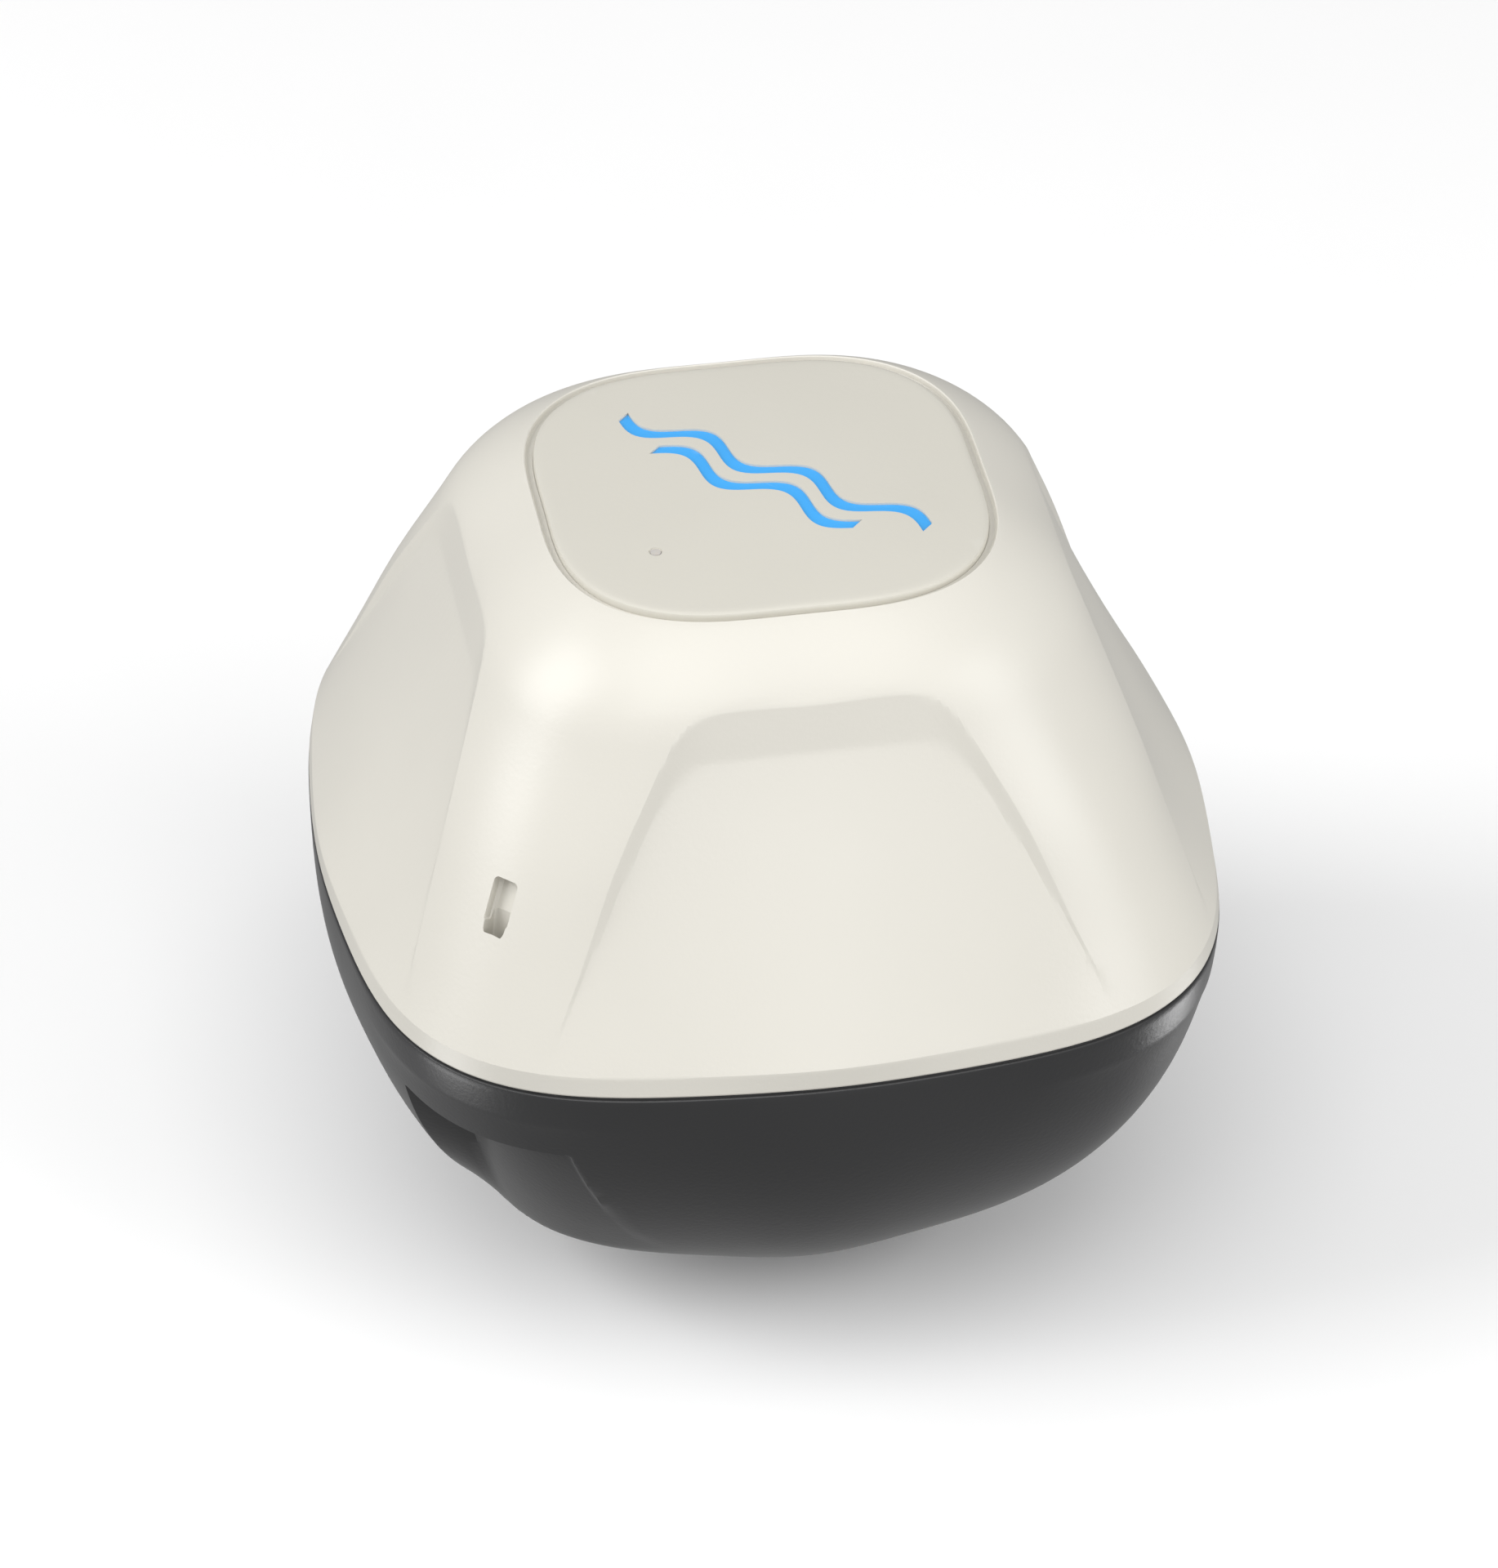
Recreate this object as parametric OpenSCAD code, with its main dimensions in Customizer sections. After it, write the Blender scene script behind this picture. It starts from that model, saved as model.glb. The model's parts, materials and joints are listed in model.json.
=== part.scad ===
// Castable sonar float: off-white dome over a dark bowl-shaped hull, with a charging port cap that opens.
// Every module draws its piece about the parting plane, and place() lifts it so that z = 0 is the base.

/* [Float body] */
// Mean radius of the outline at the rim
rim_r = 36; // [34:0.5:38]
// How far the rim outline leans from a circle to a rounded square
rim_squareness = 0.066; // [0.05:0.002:0.08]
// Swing of the second outline harmonic up the dome
side_swing = 0.014; // [0.008:0.001:0.018]
// Height of the dome from the parting plane to the top cover
dome_h = 31; // [29:0.5:33]
// Height of the near-vertical band around the rim
band_h = 1.8; // [1:0.1:3]
// Share of the rim radius that the ridges lose for each mm of height
ridge_slope = 0.01355; // [0.013:0.00005:0.0145]
// Height above which the ridges round over to the top cover
shoulder_h = 24; // [22:0.5:25]
// Depth of the full hull curve below the parting plane
hull_depth = 33; // [31:0.5:35]

/* [Side panels] */
// Height of the panels' upper inner edge
panel_top_h = 22.7; // [21.5:0.1:23.5]
// Distance of that edge from the axis
panel_top_r = 23; // [22.5:0.1:23.5]
// Half the length of that edge
panel_top_half_w = 10.3; // [9.5:0.1:11]
// Lean of the step above each panel, mm out for each mm down
step_lean = 0.28; // [0.2:0.02:0.4]
// Depth of the dish in each panel's floor
panel_dish = 0.4; // [0:0.1:0.6]
// Height at which a panel's side walls run out
panel_foot_h = 7; // [6:0.5:9]
// Distance from the axis and half the width of a panel at that height
panel_foot = [29, 19.2]; // [18:0.1:30]
// How far a side wall turns towards the panel's middle
wall_turn = 0.3; // [0.2:0.02:0.4]

/* [Top cover] */
// Mean radius of the groove around the top cover
cover_r = 17.8; // [17:0.1:18.5]
// Rise of the cover's middle above its edge
cover_crown = 0.4; // [0.2:0.1:0.6]
// Thickness of the cover at its edge
cover_t = 1.3; // [1:0.1:1.6]
// Width of the groove around the cover
groove_w = 0.6; // [0.4:0.1:0.8]
// Depth of the blue inlay below the middle of the cover
inlay_sink = 0.4; // [0.3:0.05:0.5]

/* [Line scoop and slot] */
// Depth of the scoop's ledge below the parting plane
ledge_h = 6.4; // [5.5:0.1:7.5]
// Half the width of the scoop
scoop_half_w = 7.6; // [6.5:0.1:8.5]
// How far the scoop cuts in under the ledge where it is deepest
scoop_in = 3.7; // [3.5:0.1:4]
// Width of the slope on the scoop's far side
scoop_slope_w = 3.3; // [2.5:0.1:4]
// Depth at which the scoop runs out
scoop_end_h = 22; // [20:0.5:23]
// Width of the line slot
slot_w = 1.9; // [1.6:0.1:2.4]
// Length of the line slot, out from the axis
slot_l = 1.6; // [1.4:0.1:2]

/* [Charging port] */
// Depth of the port's centre below the parting plane
port_h = 9; // [8.5:0.1:9.5]
// Half the width of the port cap
cap_half_w = 7.4; // [7:0.1:8]
// Thickness of the port cap
cap_t = 2; // [1.8:0.1:2.2]
// Radius of the cap's hinge pin
pin_r = 0.6; // [0.5:0.05:0.7]
// Gap around the cap
cap_gap = 0.2; // [0.15:0.05:0.3]

/* [Walls and joints] */
// Wall thickness of both shells
wall = 2; // [1.8:0.1:2.2]
// Thickness of the gasket between the shells
gasket_t = 0.2; // [0.2:0.1:0.4]
// Distance of the case screws from the axis
screw_r = 20; // [19.5:0.1:20.5]
// Outer radius of the screw columns
column_r = 3.8; // [3.5:0.1:4]

/* [Hidden] */
$fn = 48;

shell_seg = 96;     // points around each ring of the shells, 12 to an octant
core_seg = 48;      // points around each ring of the clipping cores
shell_white = [0.90, 0.88, 0.84];
hull_grey = [0.27, 0.27, 0.28];
steel = [0.72, 0.73, 0.75];
brass = [0.80, 0.64, 0.30];
rubber_black = [0.07, 0.07, 0.07];
board_green = [0.08, 0.32, 0.20];

half_gap = gasket_t / 2;
seat_h = dome_h - cover_t - 0.1;
ceiling_h = seat_h - 1.6;
face_r = 11.5;      // transducer face
face_t = 2;
floor_h = hull_depth - face_t;
inner_floor_h = floor_h - 1.8;
can_r = 10.8;
board_h = 15.8;     // underside of the main board
board_t = 1.2;
board_half = 15.6;  // half the board, along the diagonals
board_screw_r = 17.5;
boss_r = 2.2;
head_h = 12;        // depth of the case screws' seats
well_r = 2.5;
seal_t = 1;
insert_l = 6;
led_at = [-9.2, -7.8];
pipe_r = 0.4;
pipe_foot_r = 1.1;
port_tilt = 15;     // lean of the hull's wall at the port
barrel_r = 1.3;
pin_clearance = 0.05;
hinge_v = -5.8;     // hinge axis below the port's centre, along the wall
hinge_w = -1.5;     // hinge axis below the hull's surface
battery_size = [30, 18, 9];
tray_t = 1.2;
tray_h = 20;        // depth of the tray's underside

// ---- Outline and surface functions ----

function lerp(a, b, t) = a + (b - a) * t;
function unit(v) = v / norm(v);
function soft_min(a, b, k) = min(a, b) - pow(max(k - abs(a - b), 0), 2) / (4 * k);
function soft_max(a, b, k) = max(a, b) + pow(max(k - abs(a - b), 0), 2) / (4 * k);
function smooth(t) = let (c = max(0, min(1, t))) c * c * (3 - 2 * c);

// Angle from the middle of the nearest flat side
function fold(a) = abs((a + 45) % 90 - 45);
function outline(r, e4, e8, a) = r * (1 - e4 * cos(4 * a) + e8 * cos(8 * a));
function polar(a, r, z) = [r * cos(a), r * sin(a), z];

// Ridge surface: rim band, straight slope, then a rounded shoulder
band_draft = 0.0033;
ridge_foot = 1 - band_draft * band_h;
shoulder_drop = ridge_foot - ridge_slope * (dome_h - band_h) - cover_r / rim_r;
function ridge_scale(h) = h < band_h
    ? 1 - band_draft * h
    : ridge_foot - ridge_slope * (h - band_h)
        - shoulder_drop * pow(max(h - shoulder_h, 0) / (dome_h - shoulder_h), 2.4);
square_gain = 0.0195;   // extra squareness halfway up the dome
square_mid_h = 16;
square_spread = 6.5;
function ridge_squareness(h) =
    rim_squareness - 0.003 + square_gain * exp(-pow((h - square_mid_h) / square_spread, 2));
swing_least = -0.003;   // swing near the shoulder
swing_blend = 0.008;
function ridge_swing(h) = min(1, (dome_h - h) / 4)
    * soft_max(side_swing * cos(9 * (h - 6)), swing_least, swing_blend);
function ridge(a, h) = outline(rim_r * ridge_scale(h), ridge_squareness(h), ridge_swing(h), a);

// Panel floor, the step above it and the walls beside it
function panel_floor(a, h) = let (t = (h - band_h) / (panel_top_h - band_h))
    lerp(ridge(a, band_h), panel_top_r / cos(fold(a)), t) - 4 * panel_dish * t * (1 - t);
function panel_step(a, h) = (panel_top_r - step_lean * (h - panel_top_h)) / cos(fold(a));

// The wall is a plane through the floor's slanted edge
wall_top = [panel_top_half_w, panel_top_r, panel_top_h];
wall_edge = unit([panel_foot[1], panel_foot[0], panel_foot_h] - wall_top);
wall_normal = unit(cross(cross(wall_edge, [-wall_turn, 1, 0.2]), wall_edge));
function wall_reach(h) = wall_normal * wall_top - wall_normal[2] * h;
function panel_wall(a, h) =
    wall_reach(h) / (wall_normal[0] * sin(fold(a)) + wall_normal[1] * cos(fold(a)));
edge_blend = 0.04;      // softness of the panels' edges
corner_blend = 0.7;     // softness of their upper corners
function dome(a, h) =
    let (sides = soft_max(panel_step(a, h), panel_wall(a, h), corner_blend))
    soft_min(ridge(a, h), soft_max(panel_floor(a, h), sides, edge_blend), edge_blend);
function dome_inside(a, h, t) = min(
    ridge(a, h + 1.2) - t,
    max(panel_floor(a, h), panel_step(a, h), panel_wall(a, h)) - t - 0.2);

// Angle at which the wall reaches a given distance from the axis
function wall_angle(h, r) = atan2(wall_normal[0], wall_normal[1])
    + acos(min(1, wall_reach(h) / (r * norm([wall_normal[0], wall_normal[1]]))));

// Angles of a ring of the dome: two columns of points follow the edges of each wall
function octant(h) = let (
        level = min(max(h, 6.5), 25.5),
        inner = wall_angle(level, panel_floor(27, level)),
        outer = max(wall_angle(level, ridge(30, level)), inner + 1))
    concat([for (i = [0:5]) inner * i / 5], [(inner + outer) / 2, outer],
        [for (i = [1:4]) lerp(outer, 45, i / 5)]);
function quarter(h) = let (o = octant(h)) concat(o, [45], [for (i = [11:-1:1]) 90 - o[i]]);
function dome_angles(h) = [for (q = [0:3], a = quarter(h)) a + 90 * q];

// Hull: superellipse bowl with a corner band, cut by the scoop at one corner
function bowl(a, h) = let (t = h / hull_depth) outline(
    rim_r * pow(max(1 - pow(t, 1.91), 0), 0.495),
    lerp(rim_squareness - 0.003, 0.027, t), lerp(ridge_swing(0), 0.017, t), a);
function corner_weight(a) = smooth((fold(a) - 22) / 14);
function band_crease(a, h) = let (u = max(h - 3.1, 0))
    0.4 * corner_weight(a) * (1 - exp(-u / 2)) * exp(-u / 9);
// The scoop is deepest beside its slope and runs out towards its other side
function scoop_depth(a, h, grow) = let (
        turn = (a + 315) % 360 - 180,
        t = max(0, min(1, (h - ledge_h) / (scoop_end_h - ledge_h))),
        across = bowl(a, h) * sin(max(-60, min(60, turn))),
        far = scoop_slope_w - scoop_half_w,
        near = scoop_half_w + 1.8 * t + grow,
        slope = max((across + scoop_half_w + grow) / scoop_slope_w, 0),
        profile = min(slope, 1, 1 - 0.92 * (across - far) / (near - far)))
    scoop_in * (1 - t * t) * profile * smooth((near + 0.2 - across) / 0.4)
        * smooth((h - ledge_h + grow) / 0.25);
function hull(a, h) = bowl(a, h) - band_crease(a, h) - scoop_depth(a, h, 0);
function hull_inside(a, h, t) = min(
    bowl(a, h + 1.6) - t - 0.2, bowl(a, h) - t - 0.2 - scoop_depth(a, h, t));

// ---- Shared shapes ----

// Closed solid through a chain of rings, from a first centre to a last centre
module ring_solid(rings, first_z, last_z) {
    n = len(rings[0]);
    last = len(rings) - 1;
    points = concat([[0, 0, first_z]], [for (row = rings) each row], [[0, 0, last_z]]);
    start = [for (i = [0:n - 1]) [0, 1 + (i + 1) % n, 1 + i]];
    strips = [
        for (k = [0:last - 1], i = [0:n - 1])
        let (p = 1 + k * n + i, q = 1 + k * n + (i + 1) % n)
        each [[p, q, q + n], [p, q + n, p + n]]
    ];
    close = [
        for (i = [0:n - 1])
        [len(points) - 1, 1 + last * n + i, 1 + last * n + (i + 1) % n]
    ];
    polyhedron(points, concat(start, strips, close));
}

// Heights spaced evenly from one to another
function heights(from, to, count) = [for (i = [0:count]) lerp(from, to, i / count)];
function angles(seg) = [for (i = [0:seg - 1]) 360 * i / seg];
function cover_ring(grow, h) = [
    for (a = dome_angles(dome_h))
    polar(a, outline(cover_r, ridge_squareness(dome_h), 0, a) + grow, h)
];
function dome_ring(h) = [for (a = dome_angles(h)) polar(a, dome(a, h), h)];
function dome_inside_ring(h, t) = [for (a = dome_angles(h)) polar(a, dome_inside(a, h, t), h)];
function hull_ring(h) = [for (a = angles(shell_seg)) polar(a, hull(a, h), -h)];
function hull_inside_ring(h, t) = [for (a = angles(shell_seg)) polar(a, hull_inside(a, h, t), -h)];
function rim_polygon(inset) =
    [for (a = angles(shell_seg)) let (r = ridge(a, 0) - inset) [r * cos(a), r * sin(a)]];

module place() {
    translate([0, 0, hull_depth]) children();
}

module at_columns() {
    for (a = [45:90:315])
        rotate([0, 0, a]) translate([screw_r, 0, 0]) children();
}

module at_board_screws() {
    for (a = [0:90:270])
        rotate([0, 0, a]) translate([board_screw_r, 0, 0]) children();
}

// Cylinder between two heights
module post(r, z0, z1) {
    translate([0, 0, z0]) cylinder(r = r, h = z1 - z0);
}

module block(x0, x1, y0, y1, z0, z1) {
    translate([x0, y0, z0]) cube([x1 - x0, y1 - y0, z1 - z0]);
}

// Port frame: x across, y up along the hull's wall, z out of it
module at_port() {
    rotate([0, 0, 180]) translate([0, -hull(90, port_h), -port_h])
        rotate([90 + port_tilt, 0, 0]) children();
}

// Frame of the line slot: it leans out as it goes down, from the ridge to the ledge
slot_top = [33.2, 12.4];
slot_foot_r = 35.9;
sleeve_top = 5.2;   // distance of the sleeve's top below the slot's mouth
slot_lean = atan((slot_foot_r - slot_top[0]) / (slot_top[1] + ledge_h));
module at_slot() {
    rotate([0, 0, 225]) translate([slot_top[0], 0, slot_top[1]]) rotate([0, -slot_lean, 0])
        children();
}

module line_slot(grow) {
    at_slot() block(-slot_l / 2 - grow, slot_l / 2 + grow, -slot_w / 2 - grow, slot_w / 2 + grow,
        -24, 8);
}

// Window in the ridge where the slot comes out, square to the surface
slot_mouth_w = 2.1;
slot_mouth_l = 3.6;
module slot_mouth() {
    rotate([0, 0, 225]) translate([slot_top[0], 0, slot_top[1]]) rotate([0, 62, 0])
        translate([0, 0, -1.1]) rounded(slot_mouth_l, slot_mouth_w, 4, 0.4);
}

// Thick part of the shells around the slot
module slot_boss(low, high) {
    at_slot() block(-2.8, 2.2, -2.4, 2.4, low, high);
}

module sleeve_outline(grow) {
    x = slot_l / 2 + 0.5 + grow;
    y = slot_w / 2 + 0.55 + grow;
    at_slot() block(-x, x, -y, y, -24, -sleeve_top + grow);
}

// Tube of 8 sides along a list of points
function spline(p, i, t) = let (
        a = p[max(i - 1, 0)], b = p[i], c = p[i + 1], d = p[min(i + 2, len(p) - 1)])
    0.5 * (2 * b + (c - a) * t + (2 * a - 5 * b + 4 * c - d) * t * t
        + (3 * b - a - 3 * c + d) * t * t * t);
function route(p, steps) = concat(
    [for (i = [0:len(p) - 2], s = [0:steps - 1]) spline(p, i, s / steps)], [p[len(p) - 1]]);
function tube_ring(p, dir, r) = let (
        side = unit(cross(dir, [0.31, 0.95, 0.02])), up = cross(side, dir))
    [for (k = [0:7]) p + r * (cos(45 * k) * side + sin(45 * k) * up)];
module wire(points, r) {
    line = route(points, 3);
    n = len(line);
    rings = [
        for (i = [0:n - 1])
        tube_ring(line[i], unit(line[min(i + 1, n - 1)] - line[max(i - 1, 0)]), r)
    ];
    all = [for (row = rings) each row];
    sides = [
        for (i = [0:n - 2], k = [0:7])
        let (p = i * 8 + k, q = i * 8 + (k + 1) % 8)
        each [[p, q, q + 8], [p, q + 8, p + 8]]
    ];
    polyhedron(all, concat([[for (k = [7:-1:0]) k]], sides, [[for (k = [0:7]) (n - 1) * 8 + k]]));
}

// Flat plate with rounded corners, centred on x and y
module rounded(x, y, h, r) {
    linear_extrude(h) {
        square([x - 2 * r, y], center = true);
        square([x, y - 2 * r], center = true);
        for (i = [-1, 1], j = [-1, 1])
            translate([i * (x / 2 - r), j * (y / 2 - r)]) circle(r);
    }
}

module torus(r, t) {
    rotate_extrude() translate([r, 0]) circle(t);
}

// Plain bodies of the shells, a little inside their surfaces, that clip what is added inside
module dome_core(inset) {
    rows = heights(seat_h - 0.4, half_gap, 12);
    ring_solid(
        [for (h = rows) [for (a = angles(core_seg)) polar(a, dome(a, h) - inset, h)]],
        seat_h - 0.4, half_gap);
}

module hull_core(inset) {
    rows = heights(half_gap, floor_h - inset, 12);
    ring_solid(
        [for (h = rows) [for (a = angles(core_seg)) polar(a, hull(a, h) - inset, -h)]],
        -half_gap, -floor_h + inset);
}

// ---- Upper shell and what is fixed to it ----

groove_edge_h = dome_h - 0.2;
panel_crest_h = 26.15;  // height at which the step meets the ridge surface
module upper_shell() {
    groove = [
        cover_ring(-groove_w / 2 - 0.05, seat_h),
        cover_ring(-groove_w / 2, dome_h - 0.5),
        cover_ring(groove_w / 4, dome_h - 0.45)
    ];
    crown = [for (h = heights(groove_edge_h, panel_crest_h, 8)) dome_ring(h)];
    step = [for (h = heights(panel_crest_h - 0.7, panel_top_h, 4)) dome_ring(h)];
    ridges = [for (h = heights(panel_top_h - 1, band_h, 19)) dome_ring(h)];
    rim = [dome_ring(band_h / 2), dome_ring(half_gap)];
    inside = [for (h = heights(half_gap, ceiling_h, 9)) dome_inside_ring(h, wall)];
    color(shell_white) place() difference() {
        union() {
            ring_solid(concat(groove, crown, step, ridges, rim, inside), seat_h, ceiling_h);
            intersection() {
                dome_core(0.8);
                union() {
                    at_columns() post(column_r, half_gap, dome_h);
                    at_board_screws() post(boss_r, board_h + board_t, dome_h);
                    slot_boss(-13.5, 2);
                }
            }
        }
        at_columns() post(1.9, -1, insert_l + 0.7);
        at_board_screws() post(0.85, board_h, board_h + board_t + 4.5);
        translate(led_at) post(pipe_r + 0.03, ceiling_h - 1, dome_h + 1);
        line_slot(0);
        slot_mouth();
        sleeve_outline(0.05);
    }
}

module top_cover() {
    edge = -groove_w / 2 - 0.1;
    side = [cover_ring(edge, dome_h - 0.15), cover_ring(edge, seat_h)];
    crown = [
        for (t = [0.25, 0.5, 0.75, 0.9, 1])
        [
            for (a = dome_angles(dome_h))
            let (r = outline(cover_r, ridge_squareness(dome_h), 0, a) + edge - 0.15)
            polar(a, t * r, dome_h + cover_crown * (1 - t * t))
        ]
    ];
    color([0.86, 0.85, 0.81]) place() difference() {
        ring_solid(concat(crown, side), dome_h + cover_crown, seat_h);
        translate(led_at) post(pipe_r + 0.03, ceiling_h, dome_h + 1);
        inlay_shape(inlay_foot, dome_h + 1);
    }
}

// Two wave stripes, a plain water symbol, set across the cover on its diagonal
inlay_foot = dome_h - 0.45;
inlay_amplitude = 1.1;
inlay_wave = 9;
module wave_stripe(length, offset_y, width) {
    n = 36;
    line = [for (i = [0:n]) let (x = length * (i / n - 0.5))
        [x, offset_y + inlay_amplitude * sin(360 * x / inlay_wave)]];
    polygon(concat(
        [for (p = line) p + [0, width / 2]], [for (i = [n:-1:0]) line[i] - [0, width / 2]]));
}

module inlay_shape(z0, z1) {
    translate([0.4, 0.2, z0]) rotate([0, 0, -43]) linear_extrude(z1 - z0) {
        wave_stripe(27, 1.3, 1.3);
        wave_stripe(18, -1.3, 1.3);
    }
}

module cover_inlay() {
    color([0.20, 0.55, 0.90]) place() inlay_shape(inlay_foot, dome_h + cover_crown - inlay_sink);
}

module light_pipe() {
    color([0.80, 0.80, 0.78]) place() translate(led_at) {
        post(pipe_r, ceiling_h - 0.2, dome_h + 0.2);
        post(pipe_foot_r, board_h + board_t + 1, ceiling_h - 0.1);
    }
}

module shell_gasket() {
    color(rubber_black) place() translate([0, 0, -half_gap]) linear_extrude(gasket_t)
        difference() {
            polygon(rim_polygon(0.2));
            polygon(rim_polygon(1.4));
        }
}

module screw_inserts() {
    color(brass) place() at_columns() difference() {
        post(1.9, 0.6, 0.6 + insert_l);
        post(1.25, 0, 1 + insert_l);
    }
}

// ---- Lower hull and what is fixed to it ----

seat_ring_r = 12.6;
can_seat_h = floor_h - 2.4;
ballast_h = floor_h - 4.8;
module lower_hull() {
    inside = [
        for (h = heights(inner_floor_h, half_gap, 11)) hull_inside_ring(h, wall)
    ];
    outside = [for (h = heights(half_gap, floor_h, 21)) hull_ring(h)];
    color(hull_grey) place() difference() {
        union() {
            ring_solid(concat(inside, outside), -inner_floor_h, -floor_h);
            intersection() {
                hull_core(0.6);
                union() {
                    at_columns() post(column_r, -floor_h, -half_gap);
                    for (x = [-tray_screw_x, tray_screw_x])
                        translate([x, 0, 0]) post(2.4, -floor_h, -tray_h);
                    post(seat_ring_r, -floor_h, -ballast_h);
                    slot_boss(-24, -12);
                    at_port() block(-9.6, 9.6, -9.4, 6.4, -6.5, 2);
                    at_port() block(-6, 6, -5, -2.25, -14, -6);
                }
            }
        }
        post(can_r + 0.1, -can_seat_h, 0);
        post(face_r - 1.7, -floor_h - 1, 0);
        at_columns() post(well_r, -hull_depth, -head_h);
        at_columns() post(1.4, -head_h - 1, 1);
        for (x = [-tray_screw_x, tray_screw_x])
            translate([x, 0, 0]) post(0.85, -tray_h - 4, -tray_h + 1);
        for (x = [-contact_r, contact_r]) translate([x, 0, 0]) {
            post(contact_head_r, -hull_depth, -contact_seat_h);
            post(contact_shank_r, -hull_depth, 0);
        }
        translate([0, contact_r, 0]) {
            post(probe_head_r, -hull_depth, -contact_seat_h);
            post(probe_shank_r, -hull_depth, 0);
        }
        at_port() port_cut();
        line_slot(0);
        sleeve_outline(0.05);
    }
}

module line_sleeve() {
    color([0.80, 0.79, 0.74]) place() intersection() {
        difference() {
            sleeve_outline(0);
            line_slot(0);
        }
        block(-40, 0, -40, 0, -ledge_h, dome_h);
    }
}

module case_screws() {
    color(steel) place() at_columns() {
        post(1.2, -head_h - seal_t, insert_l);
        difference() {
            post(2.2, -head_h - seal_t - 1.8, -head_h - seal_t);
            translate([0, 0, -head_h - seal_t - 2]) cylinder(r = 1, h = 1.2, $fn = 6);
        }
    }
}

module screw_seals() {
    color(rubber_black) place() at_columns() translate([0, 0, -head_h - seal_t / 2])
        torus(1.75, seal_t / 2);
}

// ---- Charging port ----

pocket_top = 4.6;
pocket_foot = -3.6;
cap_neck_w = 4.5;
trough_foot = hinge_v - 2.1;
socket_half = [3.75, 1.45];

module pocket_plate(grow, z0, z1) {
    w = 2 * (cap_half_w + grow);
    low = pocket_foot + cap_gap - grow;
    high = pocket_top - cap_gap + grow;
    translate([0, (low + high) / 2, z0]) rounded(w, high - low, z1 - z0, 1.6 + grow);
}

module port_cut() {
    pocket_plate(cap_gap, -cap_t - cap_gap, 3);
    translate([0, pocket_top, -1.6]) cylinder(r = 2.4, h = 5);
    block(-cap_neck_w - cap_gap, cap_neck_w + cap_gap, trough_foot, pocket_foot + 0.1,
        hinge_w - barrel_r - cap_gap, 3);
    translate([-6.6, hinge_v, hinge_w]) rotate([0, 90, 0]) cylinder(r = pin_r + 0.02, h = 13.2);
    block(-4.3, 4.3, -2, 2, -4.4, 0);
    block(-3.85, 3.85, -1.55, 1.55, -7, -4);
    for (x = [-3.6, 3.6]) translate([x, -5, -12.4]) rotate([-90, 0, 0]) cylinder(r = 0.7, h = 4);
}

module port_cap() {
    across_r = 47;  // radius of the hull's side across the cap
    along_r = 35;   // radius of the hull's side up the cap
    color([0.16, 0.16, 0.17]) place() at_port() difference() {
        union() {
            intersection() {
                pocket_plate(0, -cap_t, 1);
                translate([0, 0, -across_r]) rotate([-90, 0, 0]) rotate_extrude($fn = 200)
                    intersection() {
                        translate([across_r - along_r, 0]) circle(along_r, $fn = 200);
                        translate([20, -10]) square([40, 20]);
                    }
            }
            block(-cap_neck_w, cap_neck_w, hinge_v, pocket_foot + 1, -cap_t, -0.5);
            translate([-cap_neck_w, hinge_v, hinge_w]) rotate([0, 90, 0])
                cylinder(r = barrel_r, h = 2 * cap_neck_w);
            translate([-4, 0, 0]) rotate([90, 0, 90]) linear_extrude(8) polygon([
                [-1.7, -1.5], [1.7, -1.5], [1.7, -2.6], [1.1, -4], [-1.5, -4], [-1.7, -2.6]
            ]);
        }
        translate([-7, hinge_v, hinge_w]) rotate([0, 90, 0])
            cylinder(r = pin_r + pin_clearance, h = 14);
    }
}

module cap_hinge_pin() {
    color(steel) place() at_port() translate([-6.5, hinge_v, hinge_w]) rotate([0, 90, 0])
        cylinder(r = pin_r, h = 13);
}

module port_seal() {
    color(rubber_black) place() at_port() difference() {
        block(-4.9, 4.9, -2.2, 2.4, -7.3, -6.5);
        block(-3.8, 3.8, -1.5, 1.5, -8, -6);
    }
}

module usb_socket() {
    color(steel) place() at_port() {
        difference() {
            block(-socket_half[0], socket_half[0], -socket_half[1], socket_half[1], -10.5, -4.6);
            block(-3.45, 3.45, -0.95, 0.95, -9.6, -4);
        }
        block(-1.8, 1.8, -0.1, 0.5, -9.7, -5.4);
    }
}

module port_board() {
    color(board_green) place() at_port() difference() {
        block(-5.5, 5.5, -2.25, -1.45, -13.8, -7.4);
        for (x = [-3.6, 3.6])
            translate([x, -3, -12.4]) rotate([-90, 0, 0]) cylinder(r = 0.75, h = 3);
    }
}

module port_board_screws() {
    color(steel) place() at_port() for (x = [-3.6, 3.6])
        translate([x, -3.6, -12.4]) rotate([-90, 0, 0]) {
            cylinder(r = 0.68, h = 2.2);
            translate([0, 0, 2.15]) cylinder(r = 1.2, h = 0.8);
        }
}

// Flat ribbon from the port board up to the main board
module port_flex() {
    side = [[20.2, -6.3], [17.2, -5.6], [16.2, -4.4], [15.9, -2.6], [15.2, 11.4], [14.4, 13.4]];
    back = [for (i = [len(side) - 1:-1:0]) side[i] - [0.25, 0.25]];
    color([0.75, 0.45, 0.12]) place() translate([-2.5, 0, 0]) rotate([90, 0, 90])
        linear_extrude(5) polygon(concat(side, back));
}

// ---- Transducer, ballast and water sensors ----

module transducer_face() {
    round_r = 0.9;
    color([0.10, 0.10, 0.11]) place() translate([0, 0, -hull_depth]) rotate_extrude() {
        translate([0, round_r]) square([face_r, face_t - round_r]);
        square([face_r - round_r, face_t]);
        translate([face_r - round_r, round_r]) circle(round_r);
        square([face_r - 1.75, face_t + 1.8]);
    }
}

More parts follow.
